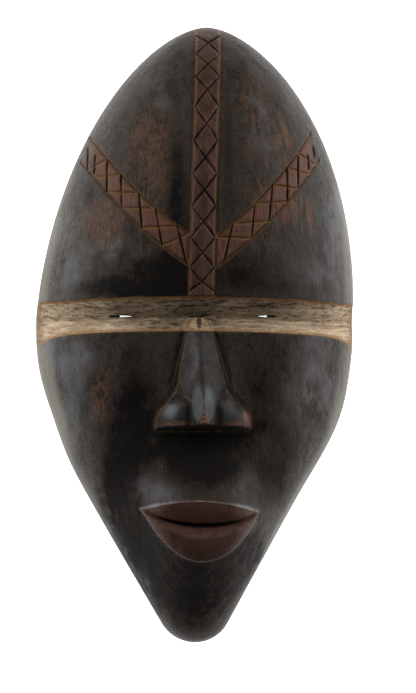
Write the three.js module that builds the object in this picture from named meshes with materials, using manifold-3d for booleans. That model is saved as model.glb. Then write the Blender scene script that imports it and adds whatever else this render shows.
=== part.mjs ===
// Carved wooden race mask with slit eyes, lying on its back rim.
// Millimetres. +Y runs from the chin to the top of the forehead, +X to the right
// of someone facing the mask, and +Z out of the face. The back rim lies in z = 0.
import * as THREE from "three";
import { ParametricGeometry } from "three/addons/geometries/ParametricGeometry.js";
import { mergeVertices } from "three/addons/utils/BufferGeometryUtils.js";
import Module from "manifold-3d";

// Outline, seen from the front
const height = 277;
const halfHeight = height / 2;
const halfWidth = 71.5; // at the widest level
const widestY = 2;
const browRoundness = 0.597; // 0.5 would be an ellipse, more is more pointed
const jawTopY = -62; // below this the jaw runs straight to the chin
const jawTopWidth = 53.2;
const jawSlope = 0.565; // half width gained for each millimetre up the jaw
const chinRadius = 17;
const topLean = 5.2; // the top of the mask leans this far to the right
const leanFromY = 8;
const jawLean = -0.9;
const cheekLean = { x: 1.5, y: -38, reach: 18 }; // the right cheek is fuller than the left one

// Depth
const sideWall = 14; // straight side of the rim
const forehead = { rise: 50, peakY: 30, power: 2.2, roundness: 0.55 }; // rise from the side wall's edge
const face = { rise: 42, power: 3, roundness: 0.5 };
const crossPower = 2.3; // fullness of a level cut through the dome
const crossRoundness = 0.55;
const wall = 9;
const endWall = 12; // thickness at the chin and at the top
const innerDrop = 2; // the hollow is this much shallower than the front drawn in

// Line that the forehead band, the nose and the mouth sit on: it bends to the right near the top
const axis = { footX: -0.7, topX: 5.2, footY: -80, topY: 133, power: 2.2 };

// Shallow hollows beside the nose, and valleys beside the forehead band
const noseHollow = { depth: 3.5, x: 20, y: -18, width: 15, height: 24 };
const bandValleys = [
  { x: 10, width: 6, depth: 1.6 },
  { x: -9, width: 5, depth: 1.2 },
];
const valleyFadeY = [15, 45];

// Channel across the eyes
const channelTopY = 16.2;
const channelFootY = 1.9;
const channelCreaseY = 7;
const channelBend = 0.00055; // both edges fall away to the sides
const channelTilt = 0.006;
const channelStep = 2.6; // overhang of the forehead
const channelDepth = 5.2; // at the crease, below the cheeks
const channelFootDepth = 0.8;
const channelFootSlope = 1.2;
const channelFlare = 3.2; // the foot widens this much towards the rim
const flarePower = 6;
const slit = { width: 10.8, gap: 1.5, y: 8, x: [-34.9, 30.4] };

// Nose
const noseRootY = 7.6;
const noseBreakY = -23.5; // the wings start here
const wingSpread = 12.6; // and are full this far below
const noseTipY = -38.2;
const noseFootY = -42.2;
const noseRise = 21; // tip above the face
const noseRootShare = 0.12; // share of the rise at the root
const noseHalfWidth = { root: 4.9, bridge: 9.9, wing: 20.8 };
const noseX = { root: 0.2, tip: 1.1 };
// Half of a level cut, from the middle outwards: share of the bridge's half width, share of the
// way from there to the foot, and share of the rise above the wings and across them
const noseCut = [
  [0, 0, 1, 1],
  [0.5, 0, 0.87, 0.87],
  [0.85, 0, 0.64, 0.55],
  [1, 0.2, 0.4, 0.5],
  [1, 0.55, 0.3, 0.52],
  [1, 0.85, 0.12, 0.36],
];

// Mouth: the heights are above or below the line between its corners
const mouth = { x: -0.7, y: -77.4, halfWidth: 25.8, tilt: -0.026 };
const upperLip = 4.8;
const mouthLine = -6.2;
const mouthGap = 1.5;
const lowerLip = -21.8;
const upperPower = 1; // roundness of the upper lip's edge; 0.5 would be an ellipse
const lowerPower = 0.8;
const lipEdge = 1.2; // both lips' edges above the muzzle
const lineInset = 5; // the mouth's line behind the lips
const slotDepth = 3;
const lipRound = 1.6;
const lipSkirt = 9; // the lips reach this far into the wood
const lipBed = 6.5; // the wood under the lips is carved this much deeper
const muzzle = { rise: 14, above: 31, abovePower: 2.2, below: 30, belowPower: 1.6, sides: [0.5, 1.5] };

// Bands on the forehead
const centralBand = { halfWidth: 5.6, rise: 1.6, ridge: 0.7, topY: 132, footY: 15.2 };
const crossings = [129.5, 119.6, 107.9, 92.4, 77.3, 63, 49.1, 35.5, 22.8]; // diamonds' meeting points
const crossReach = 0.9; // the crossed cuts end this far outside the band
const cutWidth = 1.5;
const cutDepth = 0.9;
const borderWidth = 2;
const borderDepth = 1.3;
const slantingBands = [
  { inner: [[-47.3, 87], [-5.1, 43.8]], outer: [[-51.9, 77.4], [-6.1, 31]] },
  { inner: [[51.5, 90.6], [7.1, 42.6]], outer: [[55.8, 79.8], [6.5, 29.2]] },
]; // ends of each band's two borders, at the temple and at the central band
const bandSag = 4; // the borders hang this far below a straight line
const steepCuts = 7;
const lastHead = 0.9; // place of the last steep cut along the band
const headSpacing = 1.3; // above 1, the cuts are closer together at the temple
const firstHead = -0.03;
const steepCutDrop = 0.1; // share of the band's length from a steep cut's head to its foot

// Holes in the side wall for the ties
const tieHole = { radius: 2, y: 4, z: 7, sides: 10 };

// Counts for the nets of points, and how much closer together their levels are at the ends
const counts = { dome: [32, 47], hollow: [16, 16], channel: 20, nose: 16, lips: 16, band: 18, border: 10 };
const endCrowding = 0.8;

const wasm = await Module();
wasm.setup();

const clamp = (value, low, high) => Math.min(Math.max(value, low), high);
const mix = (a, b, t) => a + (b - a) * t;
const smooth = (edge0, edge1, value) => {
  const t = clamp((value - edge0) / (edge1 - edge0), 0, 1);
  return t * t * (3 - 2 * t);
};
const bump = (distance, reach) => Math.exp(-((distance / reach) ** 2));

// Half width of the outline at a level
function outlineAt(y) {
  const chinCentre = -halfHeight + chinRadius;
  const jawAngle = Math.atan(jawSlope);
  const chinTopY = chinCentre - chinRadius * Math.sin(jawAngle);
  if (y >= widestY) {
    const t = clamp((y - widestY) / (halfHeight - widestY), 0, 1);
    return halfWidth * (1 - t * t) ** browRoundness;
  }
  if (y >= jawTopY) {
    const power = (jawSlope * (widestY - jawTopY)) / (halfWidth - jawTopWidth);
    const t = (widestY - y) / (widestY - jawTopY);
    return halfWidth - (halfWidth - jawTopWidth) * t ** power;
  }
  if (y >= chinTopY) {
    const chinTopWidth = chinRadius * Math.cos(jawAngle);
    return mix(chinTopWidth, jawTopWidth, (y - chinTopY) / (jawTopY - chinTopY));
  }
  return Math.sqrt(Math.max(chinRadius ** 2 - (y - chinCentre) ** 2, 0));
}

// Middle of the outline at a level
function middleAt(y) {
  const up = clamp((y - leanFromY) / (halfHeight - leanFromY), 0, 1);
  const down = clamp(-y / halfHeight, 0, 1);
  const lean = topLean * Math.sin((up * Math.PI) / 2) + jawLean * Math.sin(down * Math.PI);
  return lean + cheekLean.x * bump(y - cheekLean.y, cheekLean.reach);
}

// Line that the forehead band, the nose and the mouth sit on
function axisAt(y) {
  const t = clamp((y - axis.footY) / (axis.topY - axis.footY), 0, 1);
  return mix(axis.footX, axis.topX, t ** axis.power);
}

// Depth of the dome along its middle
function domeAt(y) {
  const up = clamp((y - forehead.peakY) / (halfHeight - forehead.peakY), 0, 1);
  const down = clamp((widestY - y) / (widestY + halfHeight), 0, 1);
  const upper = forehead.rise * (1 - up ** forehead.power) ** forehead.roundness;
  const lower = face.rise * (1 - down ** face.power) ** face.roundness;
  return mix(lower, upper, smooth(channelFootY, channelTopY, y));
}

// Curves of the mouth, as heights over x
const mouthShare = (x) => clamp((x - mouth.x) / mouth.halfWidth, -1, 1);
const mouthCurve = (x, rise, power) =>
  mouth.y + mouth.tilt * (x - mouth.x) + rise * (1 - mouthShare(x) ** 2) ** power;

// Front surface of the mask without the channel, the nose, the lips and the bands
function frontAt(x, y) {
  const side = clamp((x - middleAt(y)) / Math.max(outlineAt(y), 0.01), -1, 1);
  const across = Math.abs(side);
  let z = sideWall + domeAt(y) * (1 - across ** crossPower) ** crossRoundness;
  const inner = smooth(1, 0.7, across);
  const fromAxis = x - axisAt(y);
  z -=
    noseHollow.depth *
    inner *
    bump(Math.abs(fromAxis) - noseHollow.x, noseHollow.width) *
    bump(y - noseHollow.y, noseHollow.height);
  for (const valley of bandValleys) {
    z -= valley.depth * inner * bump(fromAxis - valley.x, valley.width) * smooth(...valleyFadeY, y);
  }
  // Muzzle: it curves out to the edge of the upper lip and falls away below the lower one
  const upperEdge = mouthCurve(x, upperLip, upperPower);
  const lowerEdge = mouthCurve(x, lowerLip, lowerPower);
  const above = clamp(1 - (y - upperEdge) / muzzle.above, 0, 1);
  const below = clamp(1 - (lowerEdge - y) / muzzle.below, 0, 1);
  const sideways = 1 - smooth(...muzzle.sides, Math.abs((x - mouth.x) / mouth.halfWidth));
  return z + muzzle.rise * sideways * above ** muzzle.abovePower * below ** muzzle.belowPower;
}

// Depth of the bed that the lips lie in
function bedAt(x, y) {
  const upperEdge = mouthCurve(x, upperLip, upperPower);
  const lowerEdge = mouthCurve(x, lowerLip, lowerPower);
  const within = clamp((upperEdge - y) / Math.max(upperEdge - lowerEdge, 0.01), 0, 1);
  return lipBed * 4 * within * (1 - within) * Math.sqrt(1 - mouthShare(x) ** 2);
}

// Unit normal of the front surface
function normalAt(x, y) {
  const step = 0.4;
  const slopeX = (frontAt(x + step, y) - frontAt(x - step, y)) / (2 * step);
  const slopeY = (frontAt(x, y + step) - frontAt(x, y - step)) / (2 * step);
  return new THREE.Vector3(-slopeX, -slopeY, 1).normalize();
}

// Solid inside a closed geometry; faces are turned outwards where they point in
function solidOf(geometry) {
  geometry.deleteAttribute("normal");
  geometry.deleteAttribute("uv");
  const merged = mergeVertices(geometry, 1e-4);
  const points = merged.attributes.position.array;
  const corner = merged.index.array;
  const faces = [];
  let volume = 0;
  const [a, b, c] = [new THREE.Vector3(), new THREE.Vector3(), new THREE.Vector3()];
  for (let i = 0; i < corner.length; i += 3) {
    const [p, q, r] = [corner[i], corner[i + 1], corner[i + 2]];
    if (p === q || q === r || r === p) continue;
    faces.push([p, q, r]);
    a.fromArray(points, 3 * p);
    b.fromArray(points, 3 * q);
    c.fromArray(points, 3 * r);
    volume += a.dot(b.cross(c));
  }
  if (volume < 0) faces.forEach((face) => face.reverse());
  return new wasm.Manifold(
    new wasm.Mesh({ numProp: 3, vertProperties: points, triVerts: new Uint32Array(faces.flat()) }),
  );
}

// Solid whose skin is a net of points: place(i, j) gives the point at column i of ring j
function net(columns, rings, place) {
  return solidOf(
    new ParametricGeometry(
      (u, v, target) => target.copy(place(Math.round(u * columns) % columns, Math.round(v * rings))),
      columns,
      rings,
    ),
  );
}

// Solid between loops of points, closed by a point at the middle of the first and of the last
function loft(loops) {
  const middleOf = (loop) =>
    loop.reduce((sum, point) => sum.add(point), new THREE.Vector3()).divideScalar(loop.length);
  const first = middleOf(loops[0]);
  const last = middleOf(loops.at(-1));
  return net(loops[0].length, loops.length + 1, (i, j) => {
    if (j === 0) return first;
    return j > loops.length ? last : loops[j - 1][i];
  });
}

const spread = (count, make) => Array.from({ length: count + 1 }, (_, i) => make(i / count));

// Level of ring t, from the chin at 0 to the top at 1: closer together towards both ends
const levelAt = (t, top, bottom) => {
  const even = 2 * t - 1;
  const rounded = -Math.cos(t * Math.PI);
  return mix(bottom, top, (mix(even, rounded, endCrowding) + 1) / 2);
};

// Block with the domed front and a flat back
function makeDome(columns, rings) {
  return net(columns + 3, rings, (i, j) => {
    const y = levelAt(j / rings, halfHeight, -halfHeight);
    const reach = outlineAt(y);
    const across = -Math.cos((clamp(i - 1, 0, columns) / columns) * Math.PI);
    const x = middleAt(y) + reach * across;
    const behind = i === 0 || i === columns + 2;
    return new THREE.Vector3(x, y, behind ? 0 : frontAt(x, y));
  });
}

// Hollow behind the face: the front's own shape, drawn in by the thickness of the wall
function makeHollow(columns, rings) {
  const inwards = (halfWidth - wall) / halfWidth;
  const lengthwise = (halfHeight - endWall) / halfHeight;
  return net(columns + 3, rings, (i, j) => {
    const frontY = levelAt(j / rings, halfHeight, -halfHeight);
    const across = -Math.cos((clamp(i - 1, 0, columns) / columns) * Math.PI);
    const reach = outlineAt(frontY) * across;
    const frontX = middleAt(frontY) + reach;
    const behind = i === 0 || i === columns + 2;
    const roof = (frontAt(frontX, frontY) - bedAt(frontX, frontY)) * inwards - innerDrop;
    return new THREE.Vector3(
      middleAt(frontY) + reach * inwards,
      frontY * lengthwise,
      behind ? -1 : roof,
    );
  });
}

// Cutter for the channel across the eyes; it starts and ends clear of the rim
function makeChannel(steps) {
  const clear = 6;
  const overhead = 12;
  const edge = (x, y) => y - channelBend * x * x - channelTilt * x;
  return loft(
    spread(steps, (t) => {
      const x = mix(-1, 1, t) * (halfWidth + clear);
      const flare = channelFlare * Math.abs(x / halfWidth) ** flarePower;
      const topY = edge(x, channelTopY);
      const creaseY = edge(x, channelCreaseY);
      const footY = edge(x, channelFootY) - flare;
      const at = (y) => frontAt(clamp(x, -halfWidth, halfWidth), y);
      return [
        [topY, at(topY) + overhead],
        [topY, at(topY) - channelStep],
        [creaseY, at(footY) - channelDepth],
        [footY, at(footY) - channelFootDepth],
        [footY - channelFootSlope, at(footY) + 1],
        [footY - channelFootSlope, at(footY) + overhead],
      ].map(([y, z]) => new THREE.Vector3(x, y, Math.max(z, -2)));
    }),
  );
}

// Nose: level cuts from the root down to the slanting underside
function makeNose(steps) {
  const intoFace = -10;
  return loft(
    spread(steps, (t) => {
      const y = mix(noseRootY, noseTipY, t);
      const x = mix(noseX.root, noseX.tip, t);
      const wing = Math.sin((clamp((noseBreakY - y) / wingSpread, 0, 1) * Math.PI) / 2);
      const bridge = mix(noseHalfWidth.root, noseHalfWidth.bridge, clamp(t * 1.5, 0, 1));
      const foot = mix(bridge + 1, noseHalfWidth.wing, wing);
      const rise = noseRise * mix(noseRootShare, 1, t);
      const half = noseCut.map(([onBridge, toFoot, high, highAtWings]) => [
        mix(bridge * onBridge, foot, toFoot),
        rise * mix(high, highAtWings, wing),
      ]);
      half.push([foot, -2]);
      const left = half.slice(1).map(([aside, up]) => [-aside, up]);
      return [...left.reverse(), ...half, [0, intoFace]].map(([aside, up]) => {
        const underside = t < 1 ? 0 : (noseFootY - noseTipY) * (1 - up / noseRise);
        return new THREE.Vector3(x + aside, y + underside, frontAt(x, y) + up);
      });
    }),
  );
}

// Cutter for the bed of the lips
function makeBed(steps) {
  const overhead = 6;
  return loft(
    spread(steps, (t) => {
      const x = mouth.x + mouth.halfWidth * mix(-0.98, 0.98, t);
      const topY = mouthCurve(x, upperLip, upperPower);
      const footY = mouthCurve(x, lowerLip, lowerPower);
      const floor = [0, 0.25, 0.5, 0.75, 1].map((share) => {
        const y = mix(topY, footY, share);
        return [y, frontAt(x, y) - 1 - bedAt(x, y)];
      });
      return [
        [topY, frontAt(x, topY) + overhead],
        ...floor,
        [footY, frontAt(x, footY) + overhead],
      ].map(([y, z]) => new THREE.Vector3(x, y, z));
    }),
  );
}

// Lips: upright cuts from corner to corner, with the slot of the mouth between them
function makeLips(steps) {
  const corner = 0.995; // the end cuts keep a little height
  return loft(
    spread(steps, (t) => {
      const x = mouth.x + mouth.halfWidth * mix(-corner, corner, t);
      const topY = mouthCurve(x, upperLip, upperPower);
      const lineY = mouthCurve(x, mouthLine, lowerPower);
      const footY = mouthCurve(x, lowerLip, lowerPower);
      const full = Math.sqrt(1 - mouthShare(x) ** 2);
      const gap = (mouthGap * full) / 2;
      const topZ = frontAt(x, topY) + lipEdge;
      const footZ = frontAt(x, footY) + lipEdge * full;
      const lineZ = mix(topZ, footZ, 0.4) - lineInset * full;
      return [
        [topY, topZ],
        [mix(topY, lineY, 0.5), mix(topZ, lineZ, 0.35)],
        [lineY + gap, lineZ],
        [lineY, lineZ - slotDepth * full],
        [lineY - gap, lineZ + gap],
        [mix(lineY, footY, 0.35), mix(topZ, footZ, 0.35) + lipRound * full],
        [mix(lineY, footY, 0.75), mix(topZ, footZ, 0.7) + lipRound * full],
        [footY, footZ],
        [footY - 2, footZ - lipSkirt],
        [topY, topZ - lipSkirt],
      ].map(([y, z]) => new THREE.Vector3(x, y, z));
    }),
  );
}

// Cutter with a V section that follows the front surface, lift above it, along a path of [x, y] points
function makeCut(path, width, depth, lift = 0) {
  const overhead = 1.2;
  const points = path.map(([x, y]) => new THREE.Vector3(x, y, frontAt(x, y)));
  return loft(
    points.map((point, i) => {
      const before = points[Math.max(i - 1, 0)];
      const after = points[Math.min(i + 1, points.length - 1)];
      const normal = normalAt(point.x, point.y);
      const along = after.clone().sub(before).normalize();
      const sideways = new THREE.Vector3().crossVectors(normal, along).normalize();
      const half = ((width / 2) * (depth + overhead)) / depth;
      const at = (out, aside) =>
        point.clone().addScaledVector(normal, lift + out).addScaledVector(sideways, aside);
      return [at(overhead, -half), at(-depth, 0), at(overhead, half)];
    }),
  );
}

const line = (from, to, count) =>
  spread(count, (t) => [mix(from[0], to[0], t), mix(from[1], to[1], t)]);

// Raised band down the middle of the forehead
function makeCentralBand(steps) {
  const { halfWidth: half, rise, ridge, topY, footY } = centralBand;
  return loft(
    spread(steps, (t) => {
      const y = mix(topY, footY, t);
      const x = axisAt(y);
      const z = frontAt(x, y);
      return [
        [-half, -4],
        [-half, rise * 0.5],
        [-half * 0.85, rise],
        [0, rise + ridge],
        [half * 0.85, rise],
        [half, rise * 0.5],
        [half, -4],
      ].map(([dx, dz]) => new THREE.Vector3(x + dx, y, z + dz));
    }),
  );
}

function centralBandCuts() {
  const { halfWidth: half, rise, topY, footY } = centralBand;
  const borders = [-1, 1].map((side) =>
    makeCut(
      spread(counts.band, (t) => {
        const y = mix(topY, footY, t);
        return [axisAt(y) + side * half, y];
      }),
      borderWidth,
      borderDepth,
    ),
  );
  // Two cuts cross at each of these levels and meet the next ones at the band's borders
  const crosses = crossings.flatMap((level, i) => {
    const above = mix(level, crossings[i - 1] ?? topY, 0.5);
    const below = mix(level, crossings[i + 1] ?? footY, 0.5);
    const reach = half + crossReach;
    return [-1, 1].map((side) =>
      makeCut(
        [
          [axisAt(above) - side * reach, above],
          [axisAt(level), level],
          [axisAt(below) + side * reach, below],
        ],
        cutWidth,
        cutDepth,
        rise,
      ),
    );
  });
  return [...borders, ...crosses];
}

// Steep cuts join the band's two borders; level ones run from each foot to the next head but one
function slantingBandCuts({ inner, outer }) {
  const along = ([top, foot], t) => [
    mix(top[0], foot[0], t),
    mix(top[1], foot[1], t) - bandSag * 4 * t * (1 - t),
  ];
  const border = (ends) => spread(counts.border, (t) => along(ends, t));
  const headAt = (k) => lastHead * (k / (steepCuts - 1)) ** headSpacing + firstHead;
  const head = (k) => along(inner, Math.min(headAt(k), 1));
  const foot = (k) => along(outer, headAt(k) + steepCutDrop);
  const cuts = [
    makeCut(border(inner), borderWidth, borderDepth),
    makeCut(border(outer), borderWidth, borderDepth),
  ];
  for (let k = 0; k < steepCuts; k += 1) {
    cuts.push(makeCut(line(head(k), foot(k), 2), cutWidth, cutDepth));
    if (k < steepCuts - 1) cuts.push(makeCut(line(foot(k), head(k + 2), 2), cutWidth, cutDepth));
  }
  return cuts;
}

// Slit through the wall under the forehead's edge
function makeSlit(x) {
  const depth = 60;
  const cutter = new THREE.BoxGeometry(slit.width, slit.gap, depth);
  cutter.translate(x, slit.y, innerDrop + depth / 2);
  return solidOf(cutter);
}

function makeTieHole(side) {
  const { radius, sides, y, z } = tieHole;
  const cutter = new THREE.CylinderGeometry(radius, radius, 4 * wall, sides);
  cutter.rotateZ(Math.PI / 2);
  cutter.translate(side * halfWidth, y, z);
  return solidOf(cutter);
}

function carveMask() {
  let mask = makeDome(...counts.dome).subtract(makeChannel(counts.channel));
  mask = mask.subtract(makeBed(counts.lips));
  mask = mask.add(makeCentralBand(counts.band)).add(makeNose(counts.nose)).add(makeLips(counts.lips));
  mask = mask.subtract(makeHollow(...counts.hollow));
  const cutters = [
    ...centralBandCuts(),
    ...slantingBands.flatMap(slantingBandCuts),
    ...slit.x.map(makeSlit),
    makeTieHole(-1),
    makeTieHole(1),
  ];
  return mask.subtract(cutters.reduce((all, cutter) => all.add(cutter)));
}

// Geometry of a finished solid, with flat faces
function geometryOf(solid) {
  const { vertProperties, triVerts, numProp } = solid.getMesh();
  const geometry = new THREE.BufferGeometry();
  const points = new THREE.InterleavedBuffer(vertProperties, numProp);
  geometry.setAttribute("position", new THREE.InterleavedBufferAttribute(points, 3, 0));
  geometry.setIndex(new THREE.BufferAttribute(triVerts, 1));
  const flat = geometry.toNonIndexed();
  flat.computeVertexNormals();
  return flat;
}

const group = new THREE.Group();
const wood = new THREE.MeshStandardMaterial({ color: 0x3f332d, roughness: 0.5, metalness: 0 });
const mask = new THREE.Mesh(geometryOf(carveMask()), wood);
mask.name = "carved_mask";
group.add(mask);

export default group;
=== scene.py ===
import math

import bmesh
import bpy
import numpy as np
from mathutils import Matrix, Vector, noise


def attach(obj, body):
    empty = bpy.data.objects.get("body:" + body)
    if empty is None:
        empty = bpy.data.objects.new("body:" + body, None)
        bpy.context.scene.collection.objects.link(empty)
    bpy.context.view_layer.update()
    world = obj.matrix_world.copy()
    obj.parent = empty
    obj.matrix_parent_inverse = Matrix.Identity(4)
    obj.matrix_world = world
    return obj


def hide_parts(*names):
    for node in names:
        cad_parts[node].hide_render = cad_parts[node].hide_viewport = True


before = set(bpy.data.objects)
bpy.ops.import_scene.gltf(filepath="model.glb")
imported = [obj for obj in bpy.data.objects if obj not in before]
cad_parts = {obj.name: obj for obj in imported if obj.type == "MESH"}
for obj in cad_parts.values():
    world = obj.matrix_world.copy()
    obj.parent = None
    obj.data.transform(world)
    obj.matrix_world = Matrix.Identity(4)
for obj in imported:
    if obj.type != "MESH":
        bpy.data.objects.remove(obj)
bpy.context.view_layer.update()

scene = bpy.context.scene
mm = 0.001  # sizes below are in millimetres

# As the face is looked at, x runs to the right, y up from the chin and z out of the face
form = {
    "halfHeight": 138.4,
    "halfWidth": 71.4,
    "widestY": 2.0,
    "browRoundness": 0.597,  # 0.5 would be an ellipse
    "jawTopY": -62.0,  # the jaw runs straight from here to the chin
    "jawTopWidth": 53.2,
    "jawSlope": 0.565,
    "chinRadius": 17.0,
    "topLean": 5.2,
    "leanFromY": 8.0,
    "jawLean": -0.9,
    "cheekLean": 1.5,  # the right cheek is fuller than the left one around this height
    "cheekY": -38.0,
    "cheekReach": 18.0,
    "sideWall": 14.0,
    "foreheadRise": 50.0,
    "foreheadPeakY": 30.0,
    "foreheadPower": 2.2,
    "foreheadRoundness": 0.55,
    "faceRise": 42.0,
    "facePower": 3.0,
    "crossPower": 2.3,  # the cross-section from side to side
    "crossRoundness": 0.55,
    "wall": 9.0,
    "endWall": 12.0,
    "innerDrop": 2.0,  # added to the thickness of the front
}


def lerp(low, high, share):
    return low + (high - low) * share


def smooth(low, high, value):
    share = np.clip((value - low) / (high - low), 0, 1)
    return share * share * (3 - 2 * share)


def bell(distance, reach):
    return np.exp(-((distance / reach) ** 2))


def softMin(first, second, radius):
    share = np.clip(0.5 + (second - first) / (2 * radius), 0, 1)
    return lerp(second, first, share) - radius * share * (1 - share)


def softMax(first, second, radius):
    return -softMin(-first, -second, radius)


def outlineAt(y):
    f = form
    up = np.clip((y - f["widestY"]) / (f["halfHeight"] - f["widestY"]), 0, 1)
    brow = f["halfWidth"] * (1 - up**2) ** f["browRoundness"]
    cheekHeight = f["widestY"] - f["jawTopY"]
    power = f["jawSlope"] * cheekHeight / (f["halfWidth"] - f["jawTopWidth"])
    down = np.clip((f["widestY"] - y) / cheekHeight, 0, 1)
    cheek = f["halfWidth"] - (f["halfWidth"] - f["jawTopWidth"]) * down**power
    chinCentre = -f["halfHeight"] + f["chinRadius"]
    jawAngle = math.atan(f["jawSlope"])
    chinTopY = chinCentre - f["chinRadius"] * math.sin(jawAngle)
    chinTopWidth = f["chinRadius"] * math.cos(jawAngle)
    jaw = lerp(chinTopWidth, f["jawTopWidth"], (y - chinTopY) / (f["jawTopY"] - chinTopY))
    chin = np.sqrt(np.clip(f["chinRadius"] ** 2 - (y - chinCentre) ** 2, 0, None))
    return np.select([y >= f["widestY"], y >= f["jawTopY"], y >= chinTopY], [brow, cheek, jaw], chin)


def middleAt(y):
    up = np.clip((y - form["leanFromY"]) / (form["halfHeight"] - form["leanFromY"]), 0, 1)
    down = np.clip(-y / form["halfHeight"], 0, 1)
    lean = form["topLean"] * np.sin(up * math.pi / 2) + form["jawLean"] * np.sin(down * math.pi)
    return lean + form["cheekLean"] * bell(y - form["cheekY"], form["cheekReach"])


# The forehead band, the nose and the mouth sit on this line
axis = {"footX": -0.7, "topX": 5.2, "footY": -80.0, "topY": 133.0, "power": 2.2}


def axisAt(y):
    share = np.clip((y - axis["footY"]) / (axis["topY"] - axis["footY"]), 0, 1)
    return lerp(axis["footX"], axis["topX"], share ** axis["power"])


channel = {
    "topY": 16.2,
    "creaseY": 7.0,
    "footY": 1.9,
    "bend": 0.00055,  # it curves down towards both ends
    "tilt": 0.006,
    "step": 2.6,  # how far its upper edge is cut in under the forehead
    "depth": 5.2,
    "footDepth": 0.8,
    "flare": 5.0,  # its lower edge runs down at the two ends
    "flarePower": 12,
    "topSlope": 5.0,  # steepness beyond its edges
    "footSlope": 1.6,
    "creaseSoftness": 0.8,
    "edgeSoftness": 0.4,
}


def domeAt(y):
    f = form
    up = np.clip((y - f["foreheadPeakY"]) / (f["halfHeight"] - f["foreheadPeakY"]), 0, 1)
    down = np.clip((f["widestY"] - y) / (f["widestY"] + f["halfHeight"]), 0, 1)
    upper = f["foreheadRise"] * (1 - up ** f["foreheadPower"]) ** f["foreheadRoundness"]
    lower = f["faceRise"] * np.sqrt(1 - down ** f["facePower"])
    return lerp(lower, upper, smooth(channel["footY"], channel["topY"], y))


mouth = {
    "x": 0.25,
    "y": -77.4,
    "halfWidth": 25.7,
    "tilt": -0.026,
    "upper": 4.8,
    "line": -6.2,
    "lower": -21.8,
    "leftFall": 0.97,
    "rightFall": 0.8,
    "gap": 0.9,
    "leastGap": 0.05,
    "lipEdge": 1.2,
    "edgeAbove": 1.4,  # how soon the raised edge runs out into the face
    "edgeBelow": 0.5,
    "inset": 5.0,
    "cornerPower": 2.4,  # the line between the lips gets shallow towards the corners
    "lineLevel": 0.4,  # its height between the upper lip's edge (0) and the lower one's (1)
    "slotDepth": 3.0,
    "upperPower": 1.25,
    "lowerStart": 0.12,
    "lowerFall": 0.32,  # share of the lower lip that rolls into the slot
    "round": 1.7,
    "bed": 6.5,
    "muzzleRise": 14.0,
    "muzzleAbove": 31.0,
    "muzzleBelow": 30.0,
    "muzzleSides": (0.5, 1.5),
    "abovePower": 2.2,
    "belowPower": 1.6,
}


def mouthShare(x):
    return np.clip((x - mouth["x"]) / mouth["halfWidth"], -1, 1)


def mouthCurve(x, rise, power):
    level = mouth["y"] + mouth["tilt"] * (x - mouth["x"])
    return level + rise * (1 - mouthShare(x) ** 2) ** power


# The lower lip is narrower on its left
def lowerLip(x, rise):
    return mouthCurve(x, rise, np.where(x < mouth["x"], mouth["leftFall"], mouth["rightFall"]))


# Share of the way from the middle out to the rim
def acrossAt(x, y):
    return np.clip(np.abs(x - middleAt(y)) / np.maximum(outlineAt(y), 0.01), 0, 1)


# Soft hollows in the front, by their distance beside the middle line
noseHollow = {"beside": 20, "width": 15, "depth": 3.5, "y": -18, "height": 24}
bandValleys = [
    {"beside": 10, "width": 6, "depth": 1.6},
    {"beside": -9, "width": 5, "depth": 1.2},
]
valleyFade = (15, 45)  # the valleys begin between these heights
hollowFade = (0.7, 1)  # and all of them end between these shares of the way to the side


# Front of the mask before the channel, the nose, the lips and the bands are carved
def frontAt(x, y):
    across = acrossAt(x, y)
    z = form["sideWall"] + domeAt(y) * (1 - across ** form["crossPower"]) ** form["crossRoundness"]
    inner = 1 - smooth(*hollowFade, across)
    fromAxis = x - axisAt(y)
    besideNose = bell(np.abs(fromAxis) - noseHollow["beside"], noseHollow["width"])
    z = z - noseHollow["depth"] * inner * besideNose * bell(y - noseHollow["y"], noseHollow["height"])
    for valley in bandValleys:
        besideBand = bell(fromAxis - valley["beside"], valley["width"])
        z = z - valley["depth"] * inner * besideBand * smooth(*valleyFade, y)
    upperEdge = mouthCurve(x, mouth["upper"], 1)
    lowerEdge = lowerLip(x, mouth["lower"])
    above = np.clip(1 - (y - upperEdge) / mouth["muzzleAbove"], 0, 1)
    below = np.clip(1 - (lowerEdge - y) / mouth["muzzleBelow"], 0, 1)
    sideways = 1 - smooth(*mouth["muzzleSides"], np.abs((x - mouth["x"]) / mouth["halfWidth"]))
    return z + mouth["muzzleRise"] * sideways * above ** mouth["abovePower"] * below ** mouth["belowPower"]


# Extra wood left in the hollow behind the mouth
def bedAt(x, y):
    upperEdge = mouthCurve(x, mouth["upper"], 1)
    lowerEdge = lowerLip(x, mouth["lower"])
    within = np.clip((upperEdge - y) / np.maximum(upperEdge - lowerEdge, 0.01), 0, 1)
    return mouth["bed"] * 4 * within * (1 - within) * np.sqrt(1 - mouthShare(x) ** 2)


bands = {
    "half": 5.6,
    "rise": 1.4,
    "ridge": 0.6,
    "edge": (-0.5, 0.7),  # where its raised edge begins and ends
    "slantRise": 0.5,
    "slantEdge": (-0.4, 0.8),
    "overlap": 0.15,  # share of its half width that the slanting bands run under it
    "topY": 137.5,
    "footY": 15.2,
    "crossings": [129.5, 119.6, 107.9, 92.4, 77.3, 63.0, 49.1, 35.5, 22.8],
    "crossReach": 0.94,
    "sag": 4.0,
    "headBlunt": 0.4,  # below 1 lets the pigment begin gradually at the temples
    "footShare": 1.02,  # and end this far along, under the middle band
    "cutHalf": 0.7,
    "cutDepth": 1.0,
    "cutsOut": 0.8,  # how far outside a band its cuts still bite
    "borderHalf": 1.1,
    "borderDepth": 0.8,
}

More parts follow.
